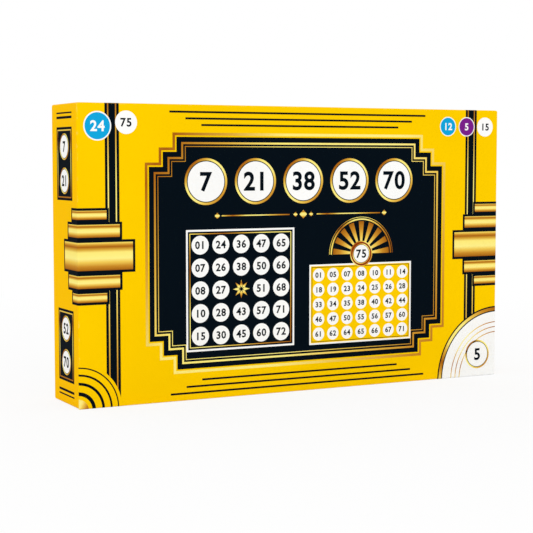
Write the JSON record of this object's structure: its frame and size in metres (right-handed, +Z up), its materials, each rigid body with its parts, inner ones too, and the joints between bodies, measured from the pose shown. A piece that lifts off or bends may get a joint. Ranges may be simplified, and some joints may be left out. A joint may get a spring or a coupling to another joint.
{
  "type": "boxed bingo game",
  "caption": "Bingo game in a two-piece rigid card box with number cards, a caller's board, numbered tokens, marker chips and a draw bag.",
  "frame": {"origin": "centre of the closed box's footprint, on the surface that it stands on with a long side down", "axes": "+X along the box's length, the printed lid faces -Y, +Z up"},
  "size_m": [0.4, 0.06, 0.24],
  "materials": {
    "printed_wrap": "laminated print, yellow with black, gold and white",
    "base_wrap": "laminated print, plain yellow and black",
    "tray_plastic": "thermoformed sheet, satin black",
    "card_print": "printed card, black with a white border",
    "caller_print": "printed card, yellow with white discs",
    "token_card": "die-cut card discs, white printed face",
    "chip_plastic": "moulded chips",
    "bag_cloth": "plain woven cotton",
    "leaflet_paper": "uncoated paper, folded once"
  },
  "bodies": {
    "base": {"base": "base_wrap"},
    "tray": {"insert_tray": "tray_plastic"},
    "tokens": {"token_pile_1": "token_card", "token_pile_2": "token_card", "token_pile_3": "token_card", "token_pile_4": "token_card", "token_pile_5": "token_card"},
    "markers": {"marker_pile_1": "chip_plastic", "marker_pile_2": "chip_plastic", "marker_pile_3": "chip_plastic", "marker_pile_4": "chip_plastic"},
    "bag": {"draw_bag": "bag_cloth"},
    "cards_left": {"card_left_01": "card_print", "card_left_02": "card_print", "card_left_03": "card_print", "card_left_04": "card_print", "card_left_05": "card_print", "card_left_06": "card_print", "card_left_07": "card_print", "card_left_08": "card_print", "card_left_09": "card_print", "card_left_10": "card_print", "card_left_11": "card_print", "card_left_12": "card_print"},
    "cards_right": {"card_right_01": "card_print", "card_right_02": "card_print", "card_right_03": "card_print", "card_right_04": "card_print", "card_right_05": "card_print", "card_right_06": "card_print", "card_right_07": "card_print", "card_right_08": "card_print", "card_right_09": "card_print", "card_right_10": "card_print", "card_right_11": "card_print", "card_right_12": "card_print"},
    "caller": {"caller_board": "caller_print"},
    "leaflet": {"rules_leaflet": "leaflet_paper"},
    "lid": {"lid": "printed_wrap"}
  },
  "joints": [
    {"name": "tray_out", "type": "slide", "parent": "base", "child": "tray", "axis": [0, -1, 0], "range_m": [0, 0.07]},
    {"name": "tokens_out", "type": "slide", "parent": "tray", "child": "tokens", "axis": [0, -1, 0], "range_m": [0, 0.045]},
    {"name": "markers_out", "type": "slide", "parent": "tokens", "child": "markers", "axis": [0, -1, 0], "range_m": [0, 0.045]},
    {"name": "bag_out", "type": "slide", "parent": "markers", "child": "bag", "axis": [0, -1, 0], "range_m": [0, 0.045]},
    {"name": "cards_left_out", "type": "slide", "parent": "bag", "child": "cards_left", "axis": [0, -1, 0], "range_m": [0, 0.04]},
    {"name": "cards_right_out", "type": "slide", "parent": "cards_left", "child": "cards_right", "axis": [0, -1, 0], "range_m": [0, 0.04]},
    {"name": "caller_out", "type": "slide", "parent": "cards_right", "child": "caller", "axis": [0, -1, 0], "range_m": [0, 0.03]},
    {"name": "leaflet_out", "type": "slide", "parent": "caller", "child": "leaflet", "axis": [0, -1, 0], "range_m": [0, 0.03]},
    {"name": "lid_off", "type": "slide", "parent": "leaflet", "child": "lid", "axis": [0, -1, 0], "range_m": [0, 0.1]}
  ]
}
